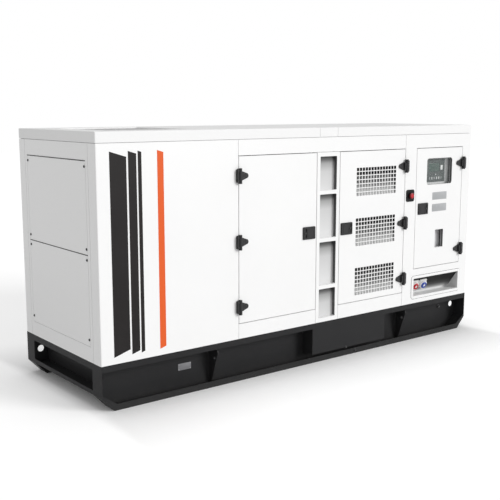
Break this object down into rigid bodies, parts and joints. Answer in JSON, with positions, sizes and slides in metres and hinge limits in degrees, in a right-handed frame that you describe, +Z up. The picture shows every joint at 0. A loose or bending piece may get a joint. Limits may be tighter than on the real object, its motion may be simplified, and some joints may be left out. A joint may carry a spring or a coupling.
{
  "type": "canopied diesel generating set",
  "caption": "White sound-proof canopied diesel generator on a dark channel skid, with hinged service doors, intake grilles, step ladder, control door, sockets and emergency stop.",
  "frame": {"origin": "middle of the bottom of the skid, on the floor", "axes": "+X along the set towards the control end, -Y is the front with the doors and ladder, +Z up"},
  "size_m": [3.5, 1.16, 1.73],
  "materials": {
    "canopy_white": "satin powder coat, dark foam lining on its inner faces",
    "skid_charcoal": "satin powder coat",
    "outlet_white": "satin powder coat",
    "black_fittings": "moulded black, fine texture",
    "window_clear": "clear acrylic",
    "cabinet_grey": "light grey paint",
    "panel_grey": "light grey paint",
    "controller_dark": "dark green-grey moulding",
    "breaker_grey": "light grey moulding",
    "socket_white": "white moulding",
    "socket_red": "red moulding",
    "socket_blue": "blue moulding",
    "stop_plate": "dark moulding",
    "stop_red": "red moulding",
    "engine_paint": "grey engine enamel",
    "alternator_paint": "grey enamel",
    "radiator_black": "matt black paint"
  },
  "bodies": {
    "canopy_and_skid": {"front_left_panel": "canopy_white", "rear_left_panel": "canopy_white", "end_walls": "canopy_white", "end_covers": "canopy_white", "door_headers": "canopy_white", "door_sills": "canopy_white", "front_ladder_post": "canopy_white", "rear_post": "canopy_white", "control_left_jamb": "canopy_white", "control_right_jamb": "canopy_white", "control_header": "canopy_white", "control_lower_panel": "canopy_white", "rear_right_panel": "canopy_white", "rear_left_door": "canopy_white", "rear_right_door": "canopy_white", "rear_door_grilles": "canopy_white", "roof_panels": "canopy_white", "roof_strap": "canopy_white", "socket_recess": "canopy_white", "front_rail": "skid_charcoal", "rear_rail": "skid_charcoal", "end_beams": "skid_charcoal", "rail_gussets": "skid_charcoal", "rail_centre_boxes": "skid_charcoal", "base_tank": "skid_charcoal", "roof_outlet_grille": "outlet_white", "rear_door_fittings": "black_fittings", "door_hinge_bars": "black_fittings", "control_cabinet": "cabinet_grey", "instrument_panel": "panel_grey", "controller": "controller_dark", "breaker": "breaker_grey", "socket_bases": "socket_white", "red_socket_lid": "socket_red", "blue_socket_lid": "socket_blue", "stop_housing": "stop_plate", "engine": "engine_paint", "alternator": "alternator_paint", "radiator": "radiator_black"},
    "left_service_door": {"front_left_door": "canopy_white", "left_door_hinge_leaves": "black_fittings", "left_door_latch": "black_fittings"},
    "right_service_door": {"front_right_door": "canopy_white", "right_door_grilles": "canopy_white", "right_door_hinge_leaves": "black_fittings", "right_door_latch": "black_fittings"},
    "control_panel_door": {"control_door": "canopy_white", "control_window": "window_clear", "control_door_hinge_leaves": "black_fittings", "control_door_latch": "black_fittings"},
    "stop_pushbutton": {"stop_button": "stop_red"}
  },
  "joints": [
    {"name": "left_door_hinge", "type": "hinge", "parent": "canopy_and_skid", "child": "left_service_door", "pos_m": [-0.6885, -0.568, 0.9795], "axis": [0, 0, -1], "range_deg": [0, 110]},
    {"name": "right_door_hinge", "type": "hinge", "parent": "canopy_and_skid", "child": "right_service_door", "pos_m": [0.9485, -0.568, 0.9795], "axis": [0, 0, 1], "range_deg": [0, 110]},
    {"name": "control_door_hinge", "type": "hinge", "parent": "canopy_and_skid", "child": "control_panel_door", "pos_m": [1.6455, -0.568, 1.068], "axis": [0, 0, 1], "range_deg": [0, 110]},
    {"name": "stop_button_push", "type": "slide", "parent": "canopy_and_skid", "child": "stop_pushbutton", "axis": [0, 1, 0], "range_m": [0, 0.006]}
  ]
}
